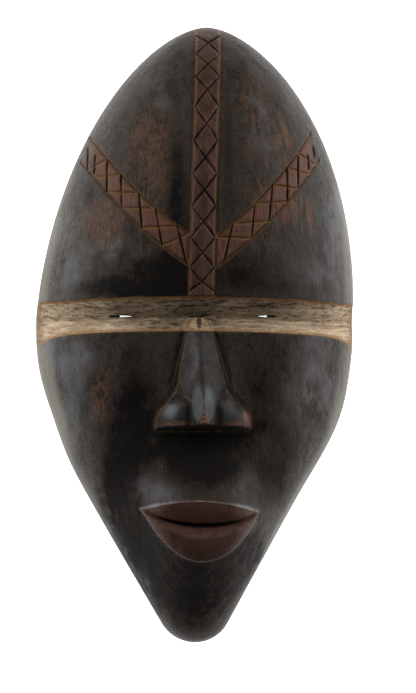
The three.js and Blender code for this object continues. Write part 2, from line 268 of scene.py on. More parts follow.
# Slanting bands: ends of both borders at the temple and at the middle band, then where
# the steep cuts leave the inner border and reach the outer one, as shares of the length.
# The first few at the temple are shorter. The pigment begins at the start shares
slanting = [
    {
        "start": (0.02, -0.06),
        "inner": [(-47.3, 87.0), (-5.1, 43.8)],
        "outer": [(-51.9, 77.4), (-6.1, 31.0)],
        "heads": [-0.02, 0.06, 0.17, 0.31, 0.49, 0.66, 0.88],
        "feet": [0.07, 0.13, 0.25, 0.39, 0.58, 0.77, 1.0],
        "short": [(0.35, 1.0), (0.3, 0.9)],  # from head to foot, the cut runs between these shares
    },
    {
        "start": (0.06, -0.02),
        "inner": [(51.5, 90.6), (7.1, 42.6)],
        "outer": [(55.8, 79.8), (6.5, 29.2)],
        "heads": [0.015, 0.07, 0.17, 0.29, 0.44, 0.62, 0.84],
        "feet": [0.07, 0.14, 0.25, 0.35, 0.52, 0.68, 0.92],
        "short": [(0.4, 0.75), (0.45, 0.85), (0.1, 0.95)],
    },
]


# Distance to a line through points
def distanceTo(points, x, y):
    best = np.full(x.shape, 1e3)
    for (startX, startY), (endX, endY) in zip(points, points[1:]):
        runX, runY = endX - startX, endY - startY
        share = ((x - startX) * runX + (y - startY) * runY) / (runX**2 + runY**2)
        share = np.clip(share, 0, 1)
        best = np.minimum(best, np.hypot(x - startX - share * runX, y - startY - share * runY))
    return best


# Place on a border of a slanting band, which sags between its ends
def sagging(ends, share):
    (topX, topY), (footX, footY) = ends
    return lerp(topX, footX, share), lerp(topY, footY, share) - bands["sag"] * 4 * share * (1 - share)


borderSteps = np.linspace(-0.03, bands["footShare"], 12)
middleLevels = np.linspace(bands["topY"], bands["footY"], 20)


# Borders and crossing cuts of the middle band, which has no level cuts
def middleCuts():
    borders = [
        [(float(axisAt(level)) + side * bands["half"], float(level)) for level in middleLevels]
        for side in (-1, 1)
    ]
    crosses = []
    marks = [bands["topY"]] + bands["crossings"] + [bands["footY"]]
    for before, level, after in zip(marks, marks[1:], marks[2:]):
        upper, lower = (before + level) / 2, (level + after) / 2
        for side in (-1, 1):
            reach = side * bands["half"] * bands["crossReach"]
            crosses.append([
                (float(axisAt(upper)) - reach, upper),
                (float(axisAt(level)), level),
                (float(axisAt(lower)) + reach, lower),
            ])
    return borders, crosses, []


def slantingCuts(band):
    borders = [[sagging(band[name], share) for share in borderSteps] for name in ("inner", "outer")]
    heads = [sagging(band["inner"], share) for share in band["heads"]]
    feet = [sagging(band["outer"], share) for share in band["feet"]]
    reaches = band["short"] + [(0, 1)] * (len(heads) - len(band["short"]))
    steep = [
        [tuple(lerp(start, end, share) for start, end in zip(head, foot)) for share in reach]
        for head, foot, reach in zip(heads, feet, reaches)
    ]
    level = [[foot, head] for foot, head in zip(feet, heads[2:] + [sagging(band["inner"], 1.0)])]
    return borders, steep, level


# Signed distance into a slanting band: positive between its borders
def insideSlanting(band, x, y):
    (innerTopX, innerTopY), (innerFootX, innerFootY) = band["inner"]
    outerTopX, outerFootX = (end[0] for end in band["outer"])
    share = (x - innerTopX) / (innerFootX - innerTopX)
    steep = (innerFootY - innerTopY) / (innerFootX - innerTopX)
    slope = 1 / math.hypot(1, steep)
    innerY = sagging(band["inner"], share)[1]
    outerShare = (x - outerTopX) / (outerFootX - outerTopX)
    outerY = sagging(band["outer"], outerShare)[1]
    start = lerp(*band["start"], np.clip((innerY - y) / (innerY - outerY), 0, 1))
    ends = np.minimum(bands["headBlunt"] * (share - start), bands["footShare"] - share)
    ends = ends * abs(innerFootX - innerTopX)
    return np.minimum(np.minimum(innerY - y, y - outerY) * slope, ends)


nose = {
    "rootY": 7.6,
    "tipY": -38.2,
    "footY": -42.2,
    "rise": 20.8,
    "rootShare": 0.12,
    "rootX": -0.5,
    "tipX": 1.4,
    # Height on the face and half width of the bridge and the wings there
    "outline": [
        (-43.5, 20.6), (-40.0, 20.9), (-36.5, 20.3), (-33.0, 18.3), (-30.0, 15.4), (-27.0, 12.4),
        (-23.0, 10.4), (-12.0, 8.3), (0.0, 5.6), (4.6, 4.9), (6.6, 3.4), (7.6, 0.4),
    ],
    "outlineBlur": 1.2,
    "edgeShare": 0.42,  # height of the bridge's edges as a share of the ridge
    "roofPower": 1.15,
    "wall": 3.2,  # steepness of its sides
    "bridgeFootY": -24.0,
    "wingTopY": -27.0,
    "wingBlend": 4.0,
    "wingRise": 12.5,
    "wingEdge": 3.4,
    "tipHalf": 5.2,
    "tipShare": 0.55,
    "lensX": 2.6,
    "lensY": -30.0,
    "lensHalf": 2.2,
    "lensHeight": 8.5,
    "lensDepth": 1.1,
    "lensHighlight": (2.6, 9.0),  # half width and half height of the painted highlight on it
    "grooveDepth": 0.9,
    "grooveOut": 0.8,
    "grooveWidth": 1.3,
    "joint": 2.4,  # softness where the wings meet the bridge
    "underSoftness": 0.5,
    "faceSoftness": 0.8,
    "buried": 5.0,  # depth of the wings' pads under the face above the wings
    "reach": 5.0,  # nothing of the nose is carved further out than this
    "chipX": 0.4,
    "chipTopY": -32.4,
    "chipHalf": 2.5,
    "chipDepth": 0.9,
    "chipEdge": (-0.1, 0.3),
}


# What the carving needs to know about each place: distances in millimetres, most of them
# positive inside, and how far down the nose it is as a share
def survey(x, y):
    found = {}
    fromAxis = np.abs(x - axisAt(y))
    within = np.minimum(bands["topY"] - y, y - bands["footY"] + 1)
    found["middleBand"] = np.minimum(bands["half"] - fromAxis, within)
    found["slantBand"] = np.maximum(*[insideSlanting(band, x, y) for band in slanting])
    cuts = [middleCuts()] + [slantingCuts(band) for band in slanting]
    for name, paths in zip(("border", "steepCut", "levelCut"), zip(*cuts)):
        nearest = [distanceTo(path, x, y) for group in paths for path in group]
        found[name] = np.min(nearest, axis=0)
    # Slanting bands stop at the middle one
    hidden = found["middleBand"] > bands["half"] * bands["overlap"]
    found["slantBand"] = np.where(hidden, -1, found["slantBand"])
    bend = channel["bend"] * x * x + channel["tilt"] * x
    flare = channel["flare"] * np.abs(x / form["halfWidth"]) ** channel["flarePower"]
    found["eyeTop"] = channel["topY"] - bend - y
    found["eyeFoot"] = y - (channel["footY"] - bend - flare)
    found["eyeCrease"] = y - (channel["creaseY"] - bend)
    found["lipTop"] = mouthCurve(x, mouth["upper"], 1) - y
    found["lipFoot"] = y - lowerLip(x, mouth["lower"])
    found["lipLine"] = y - lowerLip(x, mouth["line"])
    down = np.clip((nose["rootY"] - y) / (nose["rootY"] - nose["tipY"]), 0, 1)
    found["noseSide"] = x - lerp(nose["rootX"], nose["tipX"], down)
    levels, halves = zip(*nose["outline"])
    shifts = (-nose["outlineBlur"], 0, nose["outlineBlur"])
    found["noseHalf"] = sum(np.interp(y + shift, levels, halves) for shift in shifts) / len(shifts)
    found["noseDown"] = down
    chip = nose["chipHalf"] * (nose["chipTopY"] - y) / (nose["chipTopY"] - nose["tipY"])
    found["noseChip"] = chip - np.abs(found["noseSide"] - nose["chipX"])
    return found


def carvedBands(z, found):
    slab = smooth(*bands["edge"], found["middleBand"])
    peak = np.clip(found["middleBand"] / bands["half"], 0, 1)
    z = z + slab * (bands["rise"] + bands["ridge"] * peak)
    z = z + bands["slantRise"] * smooth(*bands["slantEdge"], found["slantBand"])
    inBand = np.maximum(found["middleBand"], found["slantBand"]) > -bands["cutsOut"]
    steep = np.clip(1 - found["steepCut"] / bands["cutHalf"], 0, 1)
    level = np.clip(1 - found["levelCut"] / bands["cutHalf"], 0, 1)
    border = np.clip(1 - found["border"] / bands["borderHalf"], 0, 1)
    cut = np.maximum(bands["cutDepth"] * np.maximum(steep, level), bands["borderDepth"] * border)
    return z - np.where(inBand, cut, 0)


def carvedChannel(z, x, y, found):
    topY = y + found["eyeTop"]
    creaseY = y - found["eyeCrease"]
    footY = y - found["eyeFoot"]
    topZ = frontAt(x, topY) - channel["step"]
    footFront = frontAt(x, footY)
    creaseZ = footFront - channel["depth"]
    footZ = footFront - channel["footDepth"]
    upper = lerp(creaseZ, topZ, (y - creaseY) / (topY - creaseY))
    lower = lerp(footZ, creaseZ, (y - footY) / (creaseY - footY))
    floor = softMax(upper, lower, channel["creaseSoftness"])
    floor = floor + channel["topSlope"] * np.clip(y - topY, 0, None)
    floor = floor + channel["footSlope"] * np.clip(footY - y, 0, None)
    return softMin(z, floor, channel["edgeSoftness"])


farBelow = -100  # a height that no carving reaches


def carvedNose(z, x, y, found):
    side = np.abs(found["noseSide"])
    rise = nose["rise"] * lerp(nose["rootShare"], 1, found["noseDown"])
    outwards = np.clip(side / found["noseHalf"], 0, 1)
    base = lerp(frontAt(x - found["noseSide"], y), frontAt(x, y), outwards**2)
    inTip = 1 - smooth(nose["wingTopY"] - nose["wingBlend"], nose["bridgeFootY"] + nose["wingBlend"], y)
    half = lerp(found["noseHalf"], nose["tipHalf"], inTip)
    slope = 1 - lerp(nose["edgeShare"], nose["tipShare"], inTip)
    roof = rise * (1 - slope * np.minimum(side / half, 1) ** nose["roofPower"])
    roof = roof - nose["wall"] * np.clip(side - half, 0, None)
    # A scooped facet on either side of the ridge, just above the tip
    lens = 1 - ((side - nose["lensX"]) / nose["lensHalf"]) ** 2
    lens = lens - ((y - nose["lensY"]) / nose["lensHeight"]) ** 2
    roof = roof - nose["lensDepth"] * np.sqrt(np.clip(lens, 0, None))
    roof = roof - nose["chipDepth"] * smooth(*nose["chipEdge"], found["noseChip"])
    # Wings: round pads with a thin edge
    out = np.clip((side - nose["tipHalf"]) / (found["noseHalf"] - nose["tipHalf"] + 0.01), 0, 1)
    pad = lerp(nose["wingEdge"], nose["wingRise"], np.sqrt(1 - out**2))
    pad = pad - nose["grooveDepth"] * bell(side - nose["tipHalf"] - nose["grooveOut"], nose["grooveWidth"])
    pad = pad - nose["wall"] * np.clip(side - found["noseHalf"], 0, None)
    body = softMax(roof, lerp(-nose["buried"], pad, inTip), nose["joint"])
    under = nose["rise"] * (y - nose["footY"]) / (nose["tipY"] - nose["footY"])
    body = softMin(body, under, nose["underSoftness"])
    body = np.where((y > nose["rootY"]) | (side > found["noseHalf"] + nose["reach"]), farBelow, body)
    return softMax(z, base + body, nose["faceSoftness"])


def carvedLips(z, x, y, found):
    full = np.sqrt(1 - mouthShare(x) ** 2)
    corners = full ** mouth["cornerPower"]
    topY = y + found["lipTop"]
    footY = y - found["lipFoot"]
    lineY = y - found["lipLine"]
    gap = mouth["gap"] * full + mouth["leastGap"]
    topZ = frontAt(x, topY) + mouth["lipEdge"] * full
    footZ = frontAt(x, footY) + mouth["lipEdge"] * full
    lineZ = lerp(topZ, footZ, mouth["lineLevel"]) - mouth["inset"] * corners
    down = np.clip((topY - y) / np.maximum(topY - lineY - gap, 0.2), 0, 1)
    upper = lerp(topZ, lineZ, down ** mouth["upperPower"])
    along = np.clip((lineY - gap - y) / np.maximum(lineY - gap - footY, 0.2), 0, 1)
    lower = lerp(topZ, footZ, lerp(mouth["lowerStart"], 1, along))
    lower = lower + mouth["round"] * full * np.sin(math.pi * along)
    fall = np.clip(1 - along / mouth["lowerFall"], 0, 1) ** 2
    lower = lerp(lower, lineZ, fall)
    slot = lineZ - mouth["slotDepth"] * corners * (1 - np.clip(np.abs(found["lipLine"]) / gap, 0, 1) ** 2)
    lips = np.select([found["lipLine"] > gap, found["lipLine"] < -gap], [upper, lower], slot)
    inLips = (found["lipTop"] > 0) & (found["lipFoot"] > 0) & (np.abs(x - mouth["x"]) < mouth["halfWidth"])
    for name, runOut in (("lipTop", mouth["edgeAbove"]), ("lipFoot", mouth["edgeBelow"])):
        raised = mouth["lipEdge"] * full * np.exp(-np.clip(-found[name], 0, None) / runOut)
        z = z + np.where(found[name] <= 0, raised, 0)
    return np.where(inLips, lips, z)


# Unevenness left by the blade in front and by the adze behind: sizes with their seeds
toolMarks = {
    "wobbles": [(16, 3), (6, 9)],
    "wobbleHeight": 0.35,
    "wobbleEdge": 0.12,  # share of the net over which it fades out at the outline
    "scoops": [(8, 5), (14, 2)],
    "scoopDepth": 2.2,
    "scoopLevel": 0.3,
    "scoopStretch": 0.6,  # less than 1 makes them longer than wide
}


def wobbleAt(x, y, z, size, seed):
    places = zip((x / size).tolist(), (y / size).tolist(), (z / size).tolist())
    return np.array([noise.noise((a + seed, b, c)) for a, b, c in places])


def carvedAt(x, y, found):
    z = frontAt(x, y)
    z = carvedBands(z, found)
    z = carvedChannel(z, x, y, found)
    z = carvedNose(z, x, y, found)
    return carvedLips(z, x, y, found)


# The net that is carved: crowding brings its lines closer together towards the outline
blank = {"rows": 116, "columns": 60, "rimSteps": 8, "rounds": 3, "crowding": 0.9, "sharpAngle": 55}
# Rim from the front's edge round to the hollow: share of the way in, share of the side's height
rimProfile = [
    (0, 1), (0, 0.66), (0, 0.25), (0.05, 0.05), (0.16, 0),
    (0.5, 0), (0.84, 0), (0.95, 0.05), (1, 0.3), (1, 1),
]
# How far round the carved lines the net is made finer; pairs are for the last two rounds
finer = {
    "bands": (2.5, 1.2),
    "lips": (4, 1),
    "mouthEnds": 2,
    "lipEdges": 1.6,
    "nose": 4,
    "noseFoot": 2,
    "noseRoot": 1,
    "channel": 2,
    "noseOutline": {"out": 0.6, "reach": 1.8},
    "noseUnder": {"down": 2, "reach": 3.2},
}


# Square net onto the oval outline
def placeOf(u, v):
    x = u * np.sqrt(1 - v * v / 2)
    y = v * np.sqrt(1 - u * u / 2)
    radius = np.maximum(np.hypot(x, y), 1e-9)
    scale = lerp(1, np.sin(np.minimum(radius, 1) * math.pi / 2) / radius, blank["crowding"])
    x, y = x * scale, np.clip(y * scale, -1, 1)
    share = np.clip(x / np.sqrt(np.maximum(1 - y * y, 1e-9)), -1, 1)
    y = y * form["halfHeight"]
    return share * outlineAt(y), y


def needsDetail(x, y, level):
    found = survey(x, y)
    bandReach, lipReach = finer["bands"][level - 1], finer["lips"][level - 1]
    onBands = np.maximum(found["middleBand"], found["slantBand"]) > -bandReach
    lips = np.minimum(found["lipTop"], found["lipFoot"])
    nearMouth = (lips > -lipReach) & (np.abs(x - mouth["x"]) < mouth["halfWidth"] + finer["mouthEnds"])
    besideNose = np.abs(found["noseSide"]) - found["noseHalf"]
    inNose = (y > nose["footY"] - finer["noseFoot"]) & (y < nose["rootY"] + finer["noseRoot"])
    inNose = inNose & (besideNose < finer["nose"])
    inChannel = np.minimum(found["eyeTop"], found["eyeFoot"]) > -finer["channel"]
    if level == 1:
        return onBands | nearMouth | inNose | inChannel
    edges = np.min(np.abs([found["lipTop"], found["lipFoot"], found["lipLine"]]), axis=0)
    outline, under = finer["noseOutline"], finer["noseUnder"]
    noseEdge = np.abs(besideNose - outline["out"]) < outline["reach"]
    noseEdge = noseEdge | (np.abs(y - nose["tipY"] + under["down"]) < under["reach"])
    return onBands | (nearMouth & (edges < finer["lipEdges"])) | (inNose & noseEdge)


# A flat box of faces, finer in front where the carving needs it
def makeNet():
    bm = bmesh.new()
    bmesh.ops.create_grid(bm, x_segments=blank["columns"], y_segments=blank["rows"], size=1)
    bmesh.ops.translate(bm, verts=bm.verts, vec=(0, 0, 1))
    front = list(bm.faces)
    made = bmesh.ops.extrude_face_region(bm, geom=front, use_keep_orig=True)["geom"]
    back = [part for part in made if isinstance(part, bmesh.types.BMVert)]
    bmesh.ops.translate(bm, verts=back, vec=(0, 0, -2))
    bmesh.ops.recalc_face_normals(bm, faces=bm.faces)
    sides = [edge for edge in bm.edges if abs(edge.verts[0].co.z - edge.verts[1].co.z) > 1]
    bmesh.ops.subdivide_edges(bm, edges=sides, cuts=blank["rimSteps"])
    for level in range(blank["rounds"]):
        front = [face for face in bm.faces if min(vert.co.z for vert in face.verts) > 0.99]
        if level > 0:
            middles = np.array([face.calc_center_median()[:2] for face in front])
            reach, y = placeOf(middles[:, 0], middles[:, 1])
            keep = needsDetail(reach + middleAt(y), y, level)
            front = [face for face, kept in zip(front, keep) if kept]
        edges = {edge for face in front for edge in face.edges}
        bmesh.ops.subdivide_edges(bm, edges=list(edges), cuts=1, use_grid_fill=True)
    mesh = bpy.data.meshes.new("carvedMask")
    bm.to_mesh(mesh)
    bm.free()
    return mesh


def readPoints(mesh, name):
    values = np.empty(len(mesh.vertices) * 3)
    mesh.vertices.foreach_get(name, values)
    return values.reshape(-1, 3)


def carveNet(mesh):
    net = readPoints(mesh, "co")
    reach, y = placeOf(net[:, 0], net[:, 1])
    x = reach + middleAt(y)
    found = survey(x, y)
    front = carvedAt(x, y, found)
    plain = frontAt(x, y)
    broad, fine = (wobbleAt(x, y, plain, size, seed) for size, seed in toolMarks["wobbles"])
    wobble = toolMarks["wobbleHeight"] * (broad + 0.5 * fine)
    front = front + wobble * smooth(0, toolMarks["wobbleEdge"], 1 - np.hypot(net[:, 0], net[:, 1]) ** 2 / 2)
    inwards = 1 - form["wall"] / form["halfWidth"]
    lengthwise = 1 - form["endWall"] / form["halfHeight"]
    innerX = reach * inwards + middleAt(y)
    innerY = y * lengthwise
    hollow = (plain - bedAt(x, y)) * inwards - form["innerDrop"]
    along = y * toolMarks["scoopStretch"]
    short, long = (np.abs(wobbleAt(x, along, plain, size, seed)) for size, seed in toolMarks["scoops"])
    hollow = hollow + toolMarks["scoopDepth"] * (short + 0.5 * long - toolMarks["scoopLevel"])
    level = np.rint((1 - net[:, 2]) / 2 * (len(rimProfile) - 1)).astype(int)
    inset, height = np.array(rimProfile)[level].T
    placed = np.column_stack([
        lerp(x, innerX, inset),
        lerp(y, innerY, inset),
        np.where(inset < 0.5, front, hollow) * height,
    ])
    mesh.vertices.foreach_set("co", (placed * mm).ravel())
    mesh.update()
    print("mask carved:", len(mesh.vertices), "points,", len(mesh.polygons), "faces")


slit = {
    "y": 8.0,
    "gap": 0.85,
    "through": [(-32.2, 5.4), (28.3, 3.8)],  # middle and width
    "blind": [(-37.0, 4.8), (32.0, 4.0)],
    "taper": 0.25,  # height of the narrow end as a share of the gap
    "blindDepth": 1.6,
    "throughLength": 60,  # of the cutters, which are longer than the wood is thick
    "throughZ": 35,
    "blindLength": 20,
}

tie = {"radius": 2.0, "y": 4.0, "z": 7.0, "length": 40, "segments": 24}


# A slit's cutter; its narrow end is the one away from the nose (1) or beside it (-1)
def addSlit(holes, x, width, narrowEnd, length, z):
    made = bmesh.ops.create_cube(holes, size=1)["verts"]
    for vert in made:
        vert.co.y *= slit["taper"] if vert.co.x * x * narrowEnd > 0 else 1
    bmesh.ops.scale(holes, verts=made, vec=(width * mm, slit["gap"] * mm, length * mm))
    bmesh.ops.translate(holes, verts=made, vec=(x * mm, slit["y"] * mm, z * mm))


# Slits and tie holes are cut from the finished carving
def cutThrough(mesh):
    holes = bmesh.new()
    for x, width in slit["through"]:
        addSlit(holes, x, width, -1, slit["throughLength"], slit["throughZ"])
    for x, width in slit["blind"]:
        surface = float(frontAt(np.array([x]), np.array([slit["y"]]))[0]) - channel["depth"]
        middle = surface - slit["blindDepth"] + slit["blindLength"] / 2
        addSlit(holes, x, width, 1, slit["blindLength"], middle)
    for side in (-1, 1):
        made = bmesh.ops.create_cone(
            holes,
            cap_ends=True,
            segments=tie["segments"],
            radius1=tie["radius"] * mm,
            radius2=tie["radius"] * mm,
            depth=tie["length"] * mm,
        )["verts"]
        bmesh.ops.rotate(holes, verts=made, matrix=Matrix.Rotation(math.pi / 2, 3, "Y"))
        middle = (side * form["halfWidth"], tie["y"], tie["z"])
        bmesh.ops.translate(holes, verts=made, vec=[part * mm for part in middle])
    cutterMesh = bpy.data.meshes.new("holes")
    holes.to_mesh(cutterMesh)
    holes.free()
    cutter = bpy.data.objects.new("holes", cutterMesh)
    whole = bpy.data.objects.new("whole", mesh)
    for item in (cutter, whole):
        scene.collection.objects.link(item)
    cutting = whole.modifiers.new("cutting", "BOOLEAN")
    cutting.operation = "DIFFERENCE"
    cutting.solver = "MANIFOLD"
    cutting.object = cutter
    seen = bpy.context.evaluated_depsgraph_get()
    result = bpy.data.meshes.new_from_object(whole.evaluated_get(seen))
    bpy.data.objects.remove(whole)
    bpy.data.objects.remove(cutter)
    return result


# Worn and dirty places, and places of painted highlight and painted shade: x, y, half width, half height,
# strength
wearAndPaintedLight = {
    "brown": [
        (-42, 49, 9, 10, 1.6), (-22, 86, 11, 16, 0.9), (-18, 64, 8, 10, 0.6), (-44, 82, 4, 7, 0.5),
        (-43, -29, 5, 16, 0.9), (52, -18, 7, 16, 0.5), (38, -32, 10, 20, 0.35),
        (-20, -56, 12, 8, 0.3),
    ],
    "brownStreaks": [
        (38, 86, 4, 10, 0.9), (40, 57, 5, 10, 0.9), (47, 48, 5, 15, 1.0), (66, 40, 3, 8, 0.8),
        (28, 66, 10, 30, 0.6), (24, 104, 12, 16, 0.5), (-50, 40, 8, 24, 0.3),
        (34, 14, 20, 10, 0.15),
    ],
    "chinBrown": [
        (26.5, -78, 1.5, 3, 1.2), (5, -112, 3, 18, 1.0), (-12, -102, 6, 20, 0.8),
        (17, -102, 6, 20, 0.8), (2, -130, 10, 7, 0.9), (-30, -78, 6, 16, 0.5),
        (34, -74, 6, 16, 0.5),
    ],
    # Painted bluish highlights on convex places
    "paintedSheen": [
        (-38, 36, 14, 7, 0.7), (-60, 55, 8, 22, 0.6), (-58, 24, 8, 9, 0.7), (-15, 110, 10, 14, 0.5),
        (26, 95, 9, 24, 0.5), (-60, -9, 10, 9, 1.3), (-36, -8, 9, 8, 0.5), (-34, -32, 4, 14, 0.5),
        (61, 60, 6, 22, 1.0), (56, 30, 9, 14, 0.7), (-26, -67, 8, 7, 0.7), (-14, -70, 8, 5, 0.5),
        (22, -67, 8, 9, 0.55), (54, -22, 13, 26, 1.0), (-56, -34, 9, 24, 0.6),
        (-15, -34, 5, 4, 0.8), (18, -34, 4, 4, 0.5),
    ],
    # Painted shade in hollows, creases and under the nose and brow; dark smoke patina on the chin
    "sootAndShade": [
        (2, -54, 17, 13, 1.5), (-28, -34, 11, 18, 1.1), (27, -24, 10, 20, 0.6),
        (-18, 26, 20, 11, 0.9), (-8, 34, 8, 14, 0.6), (-34, 20, 26, 4.5, 0.8),
        (-30, -54, 10, 12, 0.6), (20, 26, 16, 11, 0.7), (46, 19, 18, 6, 0.35), (12, 80, 4, 36, 0.5),
        (-10, 62, 5, 28, 0.8), (-48, 62, 4, 8, 0.5), (-37, -66, 8, 14, 1.0), (-31, -80, 7, 10, 0.9),
        (34, -64, 9, 14, 0.6), (-24, -92, 10, 14, 1.0), (-2, -108, 19, 19, 1.6),
        (0, -92, 14, 8, 0.6), (22, -96, 9, 12, 0.7), (0, -42, 26, 6, 1.0),
    ],
    # Painted sheen along the rim
    "rimPaintedSheen": [
        (-66, -28, 16, 30, 1.6), (-46, -76, 14, 22, 0.3), (64, -30, 14, 30, 1.4),
        (46, -74, 14, 22, 0.8), (34, -104, 12, 22, 1.6), (66, 40, 14, 36, 0.9),
        (-66, 40, 12, 40, 0.7), (0, -100, 90, 50, 0.15),
    ],
    # Scratches painted pale as highlights
    "scratchesInSheen": [
        (-38, 36, 12, 9, 0.6), (-60, -8, 10, 9, 1.3), (-26, -66, 10, 9, 0.8), (24, -66, 8, 9, 0.5),
        (34, 58, 12, 20, 0.5), (-20, 104, 14, 12, 0.4),
    ],
    # Painted highlight on the upper lip's edge near the corners
    "lipHighlight": [
        (-20, -75, 9, 4, 1.0), (20, -76, 8, 4, 1.0),
    ],
    # Painted highlights on the nose
    "noseHighlight": [
        (-13.5, -33.0, 3.6, 4.0, 0.9), (20.5, -33, 1.8, 5, 0.8), (13, -30, 4, 3, 0.4),
        (-2.6, -8, 2, 15, 0.7), (4, -27, 2, 4, 0.6),
    ],
    "wingWorn": [
        (-11, -39.0, 6, 1.3, 1.0), (-17, -34.0, 2, 3.0, 0.4), (20.5, -36.5, 3, 3.5, 0.9),
        (15, -39.0, 6, 1.2, 0.6),
    ],
    "bandWorn": [
        (-48.5, 72.5, 3.4, 4.0, 2.6), (-44.0, 66.0, 3.0, 3.0, 2.2), (52.5, 77.0, 1.6, 3.0, 1.2),
    ],
    "eyeSmudge": [
        (0, 8, 26, 9, 0.45), (-6, 4, 20, 3, 0.4), (-2, 11.5, 10, 4, 0.8), (-2.5, 11.5, 3.5, 3, 1.3),
        (-20, 4, 12, 1.6, 0.6), (-46, 5, 8, 1.6, 0.4), (-34, 12, 14, 2.4, 0.5), (28, 3, 6, 2, 0.5),
        (30, 13, 12, 1.5, 1.1), (56, 13, 12, 2, 0.6), (50, 4, 10, 2, 0.5),
    ],
}

far = 9.0  # further from a line than any coat reaches
# How far past the carved lines their marks run
past = {"cuts": 1.2, "clay": 0.3, "dirtAndShade": 0.5, "ridge": 0.5, "nose": 0.5, "noseTip": 1.0, "lips": 0.5}
# How far the middles of some lines lie from the carved ones
offset = {"eyeLine": 0.5, "clayRim": 0.2, "noseUnder": 0.3, "noseSide": 0.6, "lipHighlight": 0.4}
lipLineEnd = 2.6  # the painted shade between the lips is this much thinner at the corners
lipHighlightHalf = 0.9  # half width of the painted highlight along the lips' edge
rimSheenFade = (0.86, 1)  # the painted sheen along the rim begins and is full at these shares of the way out
# How surfaces behind are told from the front: depth under it, slope of the normal, slit walls
behind = {"depth": 2.0, "facing": -0.3, "slitWall": 0.05, "slitDepth": 1.2}


# The marks that coats are laid by are distances in millimetres or shares
def bandMarks(found, worn):
    inBand = np.maximum(found["middleBand"], found["slantBand"])
    marks = {
        name: np.where(inBand > -past["cuts"], found[name], far)
        for name in ("border", "steepCut", "levelCut")
    }
    marks["band"] = inBand - worn
    marks["middleBand"] = found["middleBand"]
    return marks


def eyeMarks(x, y, found, across):
    clay = np.minimum(found["eyeTop"], found["eyeFoot"])
    side = np.abs(found["noseSide"])
    onRoot = (clay > 0) & (y < nose["rootY"])
    slits = [
        np.maximum(np.abs(x - middle) - width / 2, np.abs(y - slit["y"]) - slit["gap"] / 2)
        for middle, width in slit["through"] + slit["blind"]
    ]
    return {
        "eyeBand": clay,
        "eyeDirtAndShade": np.where(clay > -past["dirtAndShade"], found["eyeCrease"], -far),
        "eyeLine": np.where(clay > 0, np.abs(found["eyeCrease"] + offset["eyeLine"]), far),
        "eyeRim": np.abs(clay - offset["clayRim"]),
        "eyeEnd": np.where(clay > -past["clay"], across, 0),
        "eyeRidge": np.where((clay > 0) & (y < channel["creaseY"] + past["ridge"]), side, far),
        "eyeLobe": np.where(onRoot, found["noseHalf"] - side, -far),
        "eyeLobeEdge": np.where(onRoot, np.abs(side - found["noseHalf"]), far),
        "slit": np.min(slits, axis=0),
    }


def noseMarks(y, found):
    side = np.abs(found["noseSide"])
    half = found["noseHalf"]
    onNose = (y < nose["rootY"]) & (y > nose["footY"] - past["nose"])
    footLine = np.where(side < half, np.abs(y - nose["footY"] + offset["noseUnder"]), far)
    sideLine = np.abs(side - half - offset["noseSide"])
    lensHalf, lensHeight = nose["lensHighlight"]
    fromLens = np.hypot((side - nose["lensX"]) / lensHalf, (y - nose["lensY"]) / lensHeight)
    return {
        "noseEdge": np.minimum(np.where(onNose, np.abs(side - half), far), footLine),
        "noseFoot": np.where(onNose & (y < channel["footY"]), sideLine, far),
        "noseIn": (onNose & (side < half)).astype(float),
        "noseLens": np.where(onNose, 1 - fromLens, -far),
        "noseRidge": np.where(onNose & (y > nose["tipY"] - past["ridge"]), side, far),
        "noseChip": np.where(y > nose["tipY"] - past["noseTip"], found["noseChip"], -far),
    }


def lipMarks(x, found):
    lips = np.minimum(found["lipTop"], found["lipFoot"])
    lips = np.minimum(lips, mouth["halfWidth"] - np.abs(x - mouth["x"]))
    line = np.abs(found["lipLine"]) + lipLineEnd * mouthShare(x) ** 4
    return {
        "lips": lips,
        "upperLip": np.minimum(lips, found["lipLine"]),
        "lipEdge": np.abs(lips),
        "lipLine": np.where(lips > -past["lips"], line, far),
    }


def wearAndPaintedLightMarks(x, y):
    return {
        name: sum(
            strength * bell(x - spotX, width) * bell(y - spotY, height)
            for spotX, spotY, width, height, strength in spots
        )
        for name, spots in wearAndPaintedLight.items()
    }


def markSurface(mesh):
    x, y, z = readPoints(mesh, "co").T / mm
    facing = readPoints(mesh, "normal")
    found = survey(x, y)
    across = acrossAt(x, y)
    marks = wearAndPaintedLightMarks(x, y)
    marks.update(bandMarks(found, marks.pop("bandWorn")))
    marks.update(eyeMarks(x, y, found, across))
    marks.update(noseMarks(y, found))
    marks.update(lipMarks(x, found))
    marks["across"] = across
    marks["rimPaintedSheen"] = marks["rimPaintedSheen"] * smooth(*rimSheenFade, across)
    marks["eyeSmudge"] = np.where(marks["eyeBand"] > -past["clay"], marks["eyeSmudge"], 0)
    marks["lipHighlight"] = marks["lipHighlight"] * bell(marks["lips"] + offset["lipHighlight"], lipHighlightHalf)
    marks["noseHighlight"] = marks["noseHighlight"] * marks["noseIn"]
    # The hollow's surface faces the middle of the mask, and the rim's underside faces down
    facingIn = np.sum(facing * np.column_stack([x - middleAt(y), y, z]), axis=1) < 0
    depth = carvedAt(x, y, found) - z
    bare = (facingIn & (depth > behind["depth"])) | (facing[:, 2] < behind["facing"])
    bare = bare | ((marks["slit"] < behind["slitWall"]) & (depth > behind["slitDepth"]))
    marks["hollow"] = bare.astype(float)
    for name, values in marks.items():
        layer = mesh.attributes.new(name, "FLOAT", "POINT")
        layer.data.foreach_set("value", np.ascontiguousarray(values, dtype=np.float32))
    print("surface marked for its coats:", len(marks), "marks")


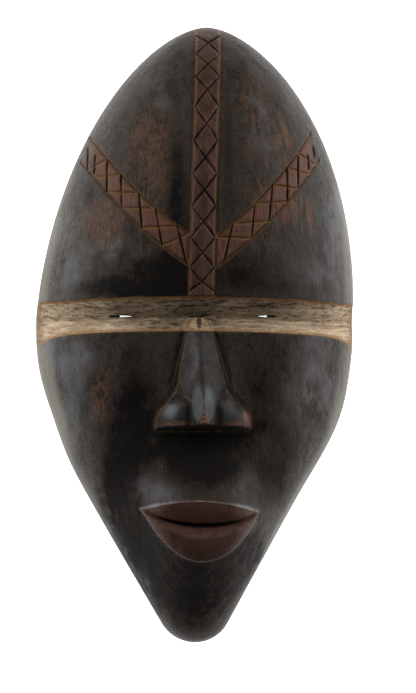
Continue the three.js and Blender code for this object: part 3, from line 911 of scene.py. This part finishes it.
net = makeNet()
carveNet(net)
mesh = cutThrough(net)
mesh.name = "carvedMask"
mesh.set_sharp_from_angle(angle=math.radians(blank["sharpAngle"]))
print("slits and tie holes cut:", len(mesh.vertices), "points")
markSurface(mesh)
mask = bpy.data.objects.new("carvedMask", mesh)
scene.collection.objects.link(mask)


def colour(code):
    parts = [int(code[i : i + 2], 16) / 255 for i in (1, 3, 5)]
    linear = [part / 12.92 if part <= 0.04045 else ((part + 0.055) / 1.055) ** 2.4 for part in parts]
    return (*linear, 1)


# Adds a node with its settings and gives back one of its outputs; inputs are values or sockets
def addNode(tree, kind, inputs=None, output=0, **settings):
    made = tree.nodes.new("ShaderNode" + kind)
    for name, value in settings.items():
        setattr(made, name, value)
    for name, value in (inputs or {}).items():
        if isinstance(value, bpy.types.NodeSocket):
            tree.links.new(value, made.inputs[name])
        else:
            made.inputs[name].default_value = value
    return made.outputs[output] if made.outputs else made


# The wood under everything else, dulled by smoke
wood = {"colour": "#1d1713", "roughness": 0.42, "ior": 1.5, "specular": 0.07}

# Uneven patterns: size across and along the grain in millimetres, detail, and where they start
# and fill. Real pores are finer than the fibres here, which are as coarse as they need to show
patterns = {
    "fibres": {"size": (0.4, 6.0), "detail": 3.0, "range": (0.40, 0.66)},
    "mottle": {"size": (1.0, 2.8), "detail": 5.0, "range": (0.40, 0.66)},
    "clouds": {"size": (12.0, 20.0), "detail": 3.0, "range": (0.38, 0.62)},
    "drift": {"size": (5.0, 7.0), "detail": 6.0, "range": (0.38, 0.60)},
    "specks": {"size": (0.7, 0.9), "detail": 2.0, "range": (0.42, 0.60)},
    "grit": {"size": (0.5, 0.5), "detail": 2.0, "range": (0.45, 0.62)},
    "flecks": {"size": (0.8, 1.0), "detail": 1.0, "range": (0.62, 0.74)},
    "smears": {"size": (11.0, 1.4), "detail": 7.0, "range": (0.42, 0.62)},
    "scuffs": {"size": (4.4, 1.2), "detail": 8.0, "range": (0.48, 0.60)},
    "streaks": {"size": (6.0, 40.0), "detail": 3.0, "range": (0.30, 0.60)},
    "flames": {"size": (2.4, 16.0), "detail": 5.0, "range": (0.46, 0.58)},
    "scratches": {"size": (6.0, 0.6), "detail": 5.0, "range": (0.56, 0.68)},
}
# Relief too low for the mesh, from the blade's facets to the fibres; height in millimetres
relief = [
    {"pattern": "clouds", "strength": 0.6, "height": 2.0},
    {"pattern": "mottle", "strength": 0.5, "height": 0.4},
    {"pattern": "fibres", "strength": 0.5, "height": 0.12},
]

# Coats over the wood, from the lowest up. Where a coat lies is a mark of markSurface and the
# values at which it begins and is full. A ragged coat has its edge moved by a pattern, and a
# patchy one is stronger and weaker with it
coats = [
    # Brown of the wood showing through the oil
    {"colour": "#33261f", "share": 0.6, "pattern": "clouds"},
    {"colour": "#403028", "share": 0.5, "pattern": "mottle"},
    {"where": ("brown", 0.1, 0.9), "colour": "#68422c", "share": 0.85,
     "pattern": "mottle", "patchy": ("drift", 2.9)},
    {"where": ("brown", 0.3, 1.2), "colour": "#7b4e2c", "share": 0.75,
     "pattern": "grit", "patchy": ("drift", 3.6)},
    {"where": ("brownStreaks", 0.1, 0.9), "colour": "#6c4830", "share": 0.72, "pattern": "flames"},
    {"colour": "#4e4638", "share": 0.25, "pattern": "specks"},
    {"colour": "#0d0a09", "share": 0.5, "pattern": "fibres"},
    {"colour": "#0a0808", "share": 0.45, "pattern": "grit"},
    # Bluish-grey tone, then painted highlights and painted sheen: on convex places, in scratches, towards
    # the sides and along the rim; ochre flecks last
    {"colour": "#35322e", "share": 0.4, "pattern": "drift"},
    # Painted highlights, bluish grey
    {"where": ("paintedSheen", 0.0, 1.0), "colour": "#66696f", "share": 0.4,
     "roughness": 0.34, "pattern": "clouds", "patchy": ("drift", 1.7)},
    # Scratches with a painted highlight on them
    {"where": ("scratchesInSheen", 0.1, 1.0), "colour": "#7b7f84", "share": 0.3,
     "pattern": "scratches", "patchy": ("drift", 5.4)},
    # Painted sheen, stronger towards the sides
    {"where": ("across", 0.64, 0.95), "colour": "#6d6d6b", "share": 0.42, "pattern": "fibres"},
    # Painted sheen along the rim
    {"where": ("rimPaintedSheen", 0.0, 1.0), "colour": "#7c786e", "share": 0.56, "patchy": ("streaks", 1.6)},
    # Painted sheen at the very outline
    {"where": ("across", 0.93, 0.998), "colour": "#6a6154", "share": 0.4, "pattern": "fibres"},
    {"colour": "#5a4a34", "share": 0.35, "pattern": "flecks"},
    # Painted shade in the hollows and creases, under the nose and the brow and beside the nose; on the chin
    # also dark smoke patina. Dull
    {"where": ("sootAndShade", 0.1, 0.9), "colour": "#0a0705", "share": 0.97,
     "roughness": 0.7, "patchy": ("drift", 2.5)},
    # Painted shade beside the foot of the nose
    {"where": ("noseFoot", 4.5, 0.5), "colour": "#0b0806", "share": 0.85, "ragged": ("drift", 6.0)},
    {"where": ("chinBrown", 0.0, 1.0), "colour": "#412b1f", "share": 0.45, "pattern": "flames"},
    # Red-brown pigment rubbed into the bands, darker on the middle one
    {"where": ("band", -0.3, 0.3), "colour": "#5a3e32", "share": 0.9, "ragged": ("mottle", 1.4)},
    {"where": ("middleBand", -0.3, 0.3), "colour": "#28180f", "share": 0.8},
    {"where": ("middleBand", 0.2, 1.4), "colour": "#55352b", "share": 0.4, "pattern": "flames"},
    {"where": ("middleBand", 0.2, 1.4), "colour": "#57484a", "share": 0.16, "pattern": "drift"},
    {"where": ("band", -0.3, 0.3), "colour": "#241712", "share": 0.6, "pattern": "fibres"},
    {"where": ("border", 1.3, 0.6), "colour": "#4c3522", "share": 0.75, "ragged": ("mottle", 2.6)},
    {"where": ("border", 0.8, 0.2), "colour": "#76532f", "share": 0.5,
     "pattern": "specks", "ragged": ("drift", 3.2)},
    # Painted shade in the bottom of the border grooves
    {"where": ("border", 0.55, 0.2), "colour": "#1b120d", "share": 0.7, "ragged": ("drift", 1.4)},
    {"where": ("levelCut", 0.9, 0.3), "colour": "#664a2c", "share": 0.7, "ragged": ("mottle", 1.0)},
    {"where": ("steepCut", 0.9, 0.4), "colour": "#664628", "share": 0.5, "pattern": "specks"},
    # Painted shade in the bottoms of the cuts
    {"where": ("levelCut", 0.4, 0.1), "colour": "#1b120c", "share": 0.6,
     "pattern": "drift", "roughness": 0.8, "ragged": ("mottle", 0.8)},
    {"where": ("steepCut", 0.6, 0.2), "colour": "#120c09", "share": 0.95,
     "roughness": 0.8, "ragged": ("drift", 1.6)},
    # Lips: the same pigment, worn pale along the edge
    {"where": ("lips", -0.3, 0.3), "colour": "#3f2b25", "share": 0.95,
     "roughness": 0.5, "ragged": ("mottle", 1.0)},
    {"where": ("lips", -0.3, 0.3), "colour": "#241813", "share": 0.65, "pattern": "fibres"},
    {"where": ("lips", -0.3, 0.3), "colour": "#4f3d34", "share": 0.3, "pattern": "drift"},
    # Painted light: the upper lip is made lighter where it faces down into shade
    {"where": ("upperLip", 0.2, 1.5), "colour": "#5e4336", "share": 0.5, "ragged": ("mottle", 1.0)},
    {"where": ("lipEdge", 0.6, 0.1), "colour": "#8b7a6a", "share": 0.5, "pattern": "specks"},
    # Painted highlight on the upper lip's edge near the corners
    {"where": ("lipHighlight", 0.1, 0.9), "colour": "#83868e", "share": 0.42, "patchy": ("drift", 2.5)},
    # Painted shade in the slot between the lips
    {"where": ("lipLine", 1.3, 0.5), "colour": "#0d0807", "share": 0.9, "roughness": 0.8},
    # Nose: darker, with painted highlights on the wings, the bridge and the facets, its arrises rubbed down
    # to the wood
    {"where": ("noseIn", 0.0, 1.0), "colour": "#191a1b", "share": 0.5},
    {"where": ("noseIn", 0.0, 1.0), "colour": "#0c0a08", "share": 0.8, "pattern": "mottle"},
    {"where": ("noseIn", 0.0, 1.0), "colour": "#3f3c38", "share": 0.25, "pattern": "drift"},
    # Painted highlights on the nose
    {"where": ("noseHighlight", 0.0, 1.0), "colour": "#7d8288", "share": 0.26, "patchy": ("drift", 2.9)},
    {"where": ("wingWorn", 0.0, 1.0), "colour": "#80523a", "share": 0.8,
     "pattern": "grit", "patchy": ("mottle", 3.6)},
    # Painted highlight on the facets above the tip
    {"where": ("noseLens", 0.0, 0.25), "colour": "#666d70", "share": 0.24, "ragged": ("mottle", 0.8)},
    {"where": ("noseEdge", 0.9, 0.1), "colour": "#5c472b", "share": 0.7,
     "pattern": "specks", "ragged": ("mottle", 2.0)},
    {"where": ("noseRidge", 0.65, 0.15), "colour": "#3c2618", "share": 0.9,
     "roughness": 0.6, "ragged": ("mottle", 1.0)},
    # White clay in the eye channel, with dirt smeared along it; above the crease it is darker, dirt and
    # painted shade under the forehead's edge
    {"where": ("eyeBand", -0.4, 0.2), "colour": "#b8a68e", "share": 1.0,
     "roughness": 0.85, "ragged": ("mottle", 1.2)},
    {"where": ("eyeBand", -0.4, 0.2), "colour": "#7a6650", "share": 0.65, "pattern": "smears"},
    {"where": ("eyeBand", -0.4, 0.2), "colour": "#7c6448", "share": 0.45, "pattern": "specks"},
    # Darker above the crease: dirt and painted shade under the overhang
    {"where": ("eyeDirtAndShade", -0.6, 1.6), "colour": "#33291d", "share": 0.65,
     "pattern": "scuffs", "ragged": ("smears", 6.0)},
    {"where": ("eyeDirtAndShade", -0.6, 1.6), "colour": "#6b5942", "share": 0.2},
    {"where": ("eyeBand", -0.4, 0.2), "colour": "#2a2018", "share": 0.45, "pattern": "scratches"},
    {"where": ("eyeLine", 1.1, 0.3), "colour": "#2c211a", "share": 0.5,
     "pattern": "smears", "ragged": ("smears", 3.0)},
    {"where": ("eyeSmudge", 0.0, 1.0), "colour": "#463828", "share": 0.6, "patchy": ("drift", 2.5)},
    {"where": ("eyeSmudge", 0.1, 1.0), "colour": "#251b14", "share": 0.8,
     "pattern": "scuffs", "patchy": ("smears", 1.8)},
    {"where": ("eyeLobe", 0.0, 0.6), "colour": "#b09a78", "share": 0.6,
     "pattern": "specks", "ragged": ("mottle", 3.0)},
    {"where": ("eyeLobeEdge", 0.9, 0.2), "colour": "#5f4429", "share": 0.65, "ragged": ("mottle", 2.0)},
    {"where": ("eyeRidge", 1.5, 0.6), "colour": "#35251c", "share": 0.85, "ragged": ("mottle", 1.6)},
    {"where": ("eyeEnd", 0.94, 0.985), "colour": "#5d4e3c", "share": 0.7, "patchy": ("mottle", 0.12)},
    {"where": ("eyeRim", 0.9, 0.2), "colour": "#7f5b33", "share": 0.8, "ragged": ("mottle", 1.6)},
    # Painted shade in the blind slits and on the slit walls
    {"where": ("slit", 0.3, -0.05), "colour": "#14100c", "share": 0.95},
    {"where": ("noseChip", -0.1, 0.3), "colour": "#6c4a32", "share": 0.8, "pattern": "specks"},
    # Bare wood behind, darkened unevenly by use
    {"where": ("hollow", 0.4, 0.6), "colour": "#5f452f", "share": 1.0, "roughness": 0.7},
    {"where": ("hollow", 0.4, 0.6), "colour": "#35251a", "share": 0.7, "pattern": "fibres"},
    {"where": ("hollow", 0.4, 0.6), "colour": "#2a1d14", "share": 0.7, "pattern": "clouds"},
    {"where": ("hollow", 0.4, 0.6), "colour": "#7a5e43", "share": 0.28, "pattern": "flames"},
    {"where": ("hollow", 0.4, 0.6), "colour": "#1f1610", "share": 0.3, "pattern": "drift"},
]


# Noise of each pattern, as it is and brought to between 0 and 1 from its start to its full value
def patternNodes(tree):
    place = addNode(tree, "TexCoord", output="Object")
    heights, uneven = {}, {}
    for name, pattern in patterns.items():
        across, along = (1 / (size * mm) for size in pattern["size"])
        scaled = addNode(tree, "Mapping", {"Vector": place, "Scale": (across, along, across)})
        heights[name] = addNode(
            tree, "TexNoise", {"Vector": scaled, "Scale": 1.0, "Detail": pattern["detail"], "Roughness": 0.6}
        )
        start, full = pattern["range"]
        uneven[name] = addNode(
            tree, "MapRange", {"Value": heights[name], "From Min": start, "From Max": full},
            interpolation_type="SMOOTHSTEP",
        )
    return heights, uneven


# How much of a coat lies at each place
def coatShare(tree, coat, swings, uneven):
    share = coat["share"]
    if "where" in coat:
        mark, start, full = coat["where"]
        value = addNode(tree, "Attribute", output="Fac", attribute_name=mark)
        if "ragged" in coat:
            swing, amount = coat["ragged"]
            value = addNode(tree, "Math", {0: swings[swing], 1: amount, 2: value}, operation="MULTIPLY_ADD")
        if "patchy" in coat:
            swing, amount = coat["patchy"]
            patches = addNode(tree, "Math", {0: swings[swing], 1: amount, 2: 1.0}, operation="MULTIPLY_ADD")
            value = addNode(tree, "Math", {0: value, 1: patches}, operation="MULTIPLY")
        share = addNode(
            tree, "MapRange", {"Value": value, "From Min": start, "From Max": full, "To Max": share},
            interpolation_type="SMOOTHSTEP",
        )
    if "pattern" in coat:
        share = addNode(tree, "Math", {0: share, 1: uneven[coat["pattern"]]}, operation="MULTIPLY")
    return share


# Carved hardwood, oiled and smoked: almost black and barely shining, with brown where it is
# rubbed, pigment and clay in the carved parts and bare wood behind
def patinaMaterial():
    material = bpy.data.materials.new("oiled hardwood, hand carved")
    material.use_nodes = True
    tree = material.node_tree
    tree.nodes.clear()
    heights, uneven = patternNodes(tree)
    swings = {
        name: addNode(tree, "Math", {0: height, 1: 0.5}, operation="SUBTRACT")
        for name, height in heights.items()
    }
    # A Mix node takes its share at 0, numbers at 2 and 3 and colours at 6 and 7
    base, roughness = colour(wood["colour"]), wood["roughness"]
    for coat in coats:
        share = coatShare(tree, coat, swings, uneven)
        base = addNode(tree, "Mix", {0: share, 6: base, 7: colour(coat["colour"])}, 2, data_type="RGBA")
        if "roughness" in coat:
            roughness = addNode(tree, "Mix", {0: share, 2: roughness, 3: coat["roughness"]})
    bump = {}
    for layer in relief:
        bump["Height"] = heights[layer["pattern"]]
        bump["Strength"] = layer["strength"]
        bump["Distance"] = layer["height"] * mm
        bump["Normal"] = addNode(tree, "Bump", bump)
    looks = {
        "Base Color": base,
        "Roughness": roughness,
        "IOR": wood["ior"],
        "Specular IOR Level": wood["specular"],
        "Normal": bump["Normal"],
    }
    addNode(tree, "OutputMaterial", {"Surface": addNode(tree, "BsdfPrincipled", looks)})
    print("patina:", len(coats), "coats of", len(patterns), "patterns")
    return material


mesh.materials.clear()
mesh.materials.append(patinaMaterial())

# The table, the lamps and their places are in metres
table = {"size": 5.0, "drop": 0.0002, "colour": "#f2f2f2", "roughness": 0.9, "glow": 1.0}


# Smooth white paper under the mask: matt, and lit evenly so that it stays white
def paperMaterial():
    material = bpy.data.materials.new("matt white paper")
    material.use_nodes = True
    inputs = material.node_tree.nodes["Principled BSDF"].inputs
    inputs["Base Color"].default_value = colour(table["colour"])
    inputs["Roughness"].default_value = table["roughness"]
    inputs["Emission Color"].default_value = (1, 1, 1, 1)
    inputs["Emission Strength"].default_value = table["glow"]
    return material


def makeFloor():
    mesh = bpy.data.meshes.new("floor")
    sheet = bmesh.new()
    bmesh.ops.create_grid(sheet, x_segments=1, y_segments=1, size=table["size"] / 2)
    sheet.to_mesh(mesh)
    sheet.free()
    mesh.materials.append(paperMaterial())
    made = bpy.data.objects.new("floor", mesh)
    scene.collection.objects.link(made)
    made.location.z = -table["drop"]
    return made


floor = makeFloor()

# The photo looks straight at the face from 3 degrees to its left
view = {
    "tilt": 3.0,
    "lens": 180,
    "sensor": 36,
    "pixel": 0.45,  # size of one of the photo's pixels on the mask
    "pixelsHigh": 693,
    "frameX": 5.85,  # middle of the picture on the mask
    "frameY": -5.29,
    "rimZ": 15.0,  # height at which that pixel size holds, about that of the widest outline
}
lamps = [
    {"name": "left", "place": (-0.75, 0.25, 0.32), "size": 0.7, "watts": 7.4},
    {"name": "right", "place": (0.75, 0.25, 0.32), "size": 0.7, "watts": 7.8},
    {"name": "top", "place": (0.0, 0.8, 0.9), "size": 0.7, "watts": 3.5},
]
room = {"colour": (1, 1, 1, 1), "strength": 0.08}


def makeCamera():
    tilt = math.radians(view["tilt"])
    distance = view["lens"] * view["pixelsHigh"] * view["pixel"] / view["sensor"] * mm
    back = Vector((-math.sin(tilt), 0, math.cos(tilt)))
    right = Vector((math.cos(tilt), 0, math.sin(tilt)))
    data = bpy.data.cameras.new("camera")
    data.lens = view["lens"]
    data.sensor_width = view["sensor"]
    camera = bpy.data.objects.new("camera", data)
    scene.collection.objects.link(camera)
    turned = Matrix((right, Vector((0, 1, 0)), back)).transposed().to_4x4()
    turned.translation = Vector((view["frameX"], view["frameY"], view["rimZ"])) * mm + back * distance
    camera.matrix_world = turned
    scene.camera = camera


def makeLamp(lamp):
    data = bpy.data.lights.new(lamp["name"], "AREA")
    data.size = lamp["size"]
    data.energy = lamp["watts"]
    light = bpy.data.objects.new(lamp["name"], data)
    scene.collection.objects.link(light)
    light.location = lamp["place"]
    light.rotation_euler = (-Vector(lamp["place"])).to_track_quat("-Z", "Y").to_euler()


def makeRoom():
    world = bpy.data.worlds.new("studio")
    world.use_nodes = True
    inputs = world.node_tree.nodes["Background"].inputs
    inputs["Color"].default_value = room["colour"]
    inputs["Strength"].default_value = room["strength"]
    scene.world = world
    scene.view_settings.view_transform = "Standard"


makeCamera()
for lamp in lamps:
    makeLamp(lamp)
makeRoom()
print("studio set up:", len(lamps), "lamps")

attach(mask, "root")
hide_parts("carved_mask")
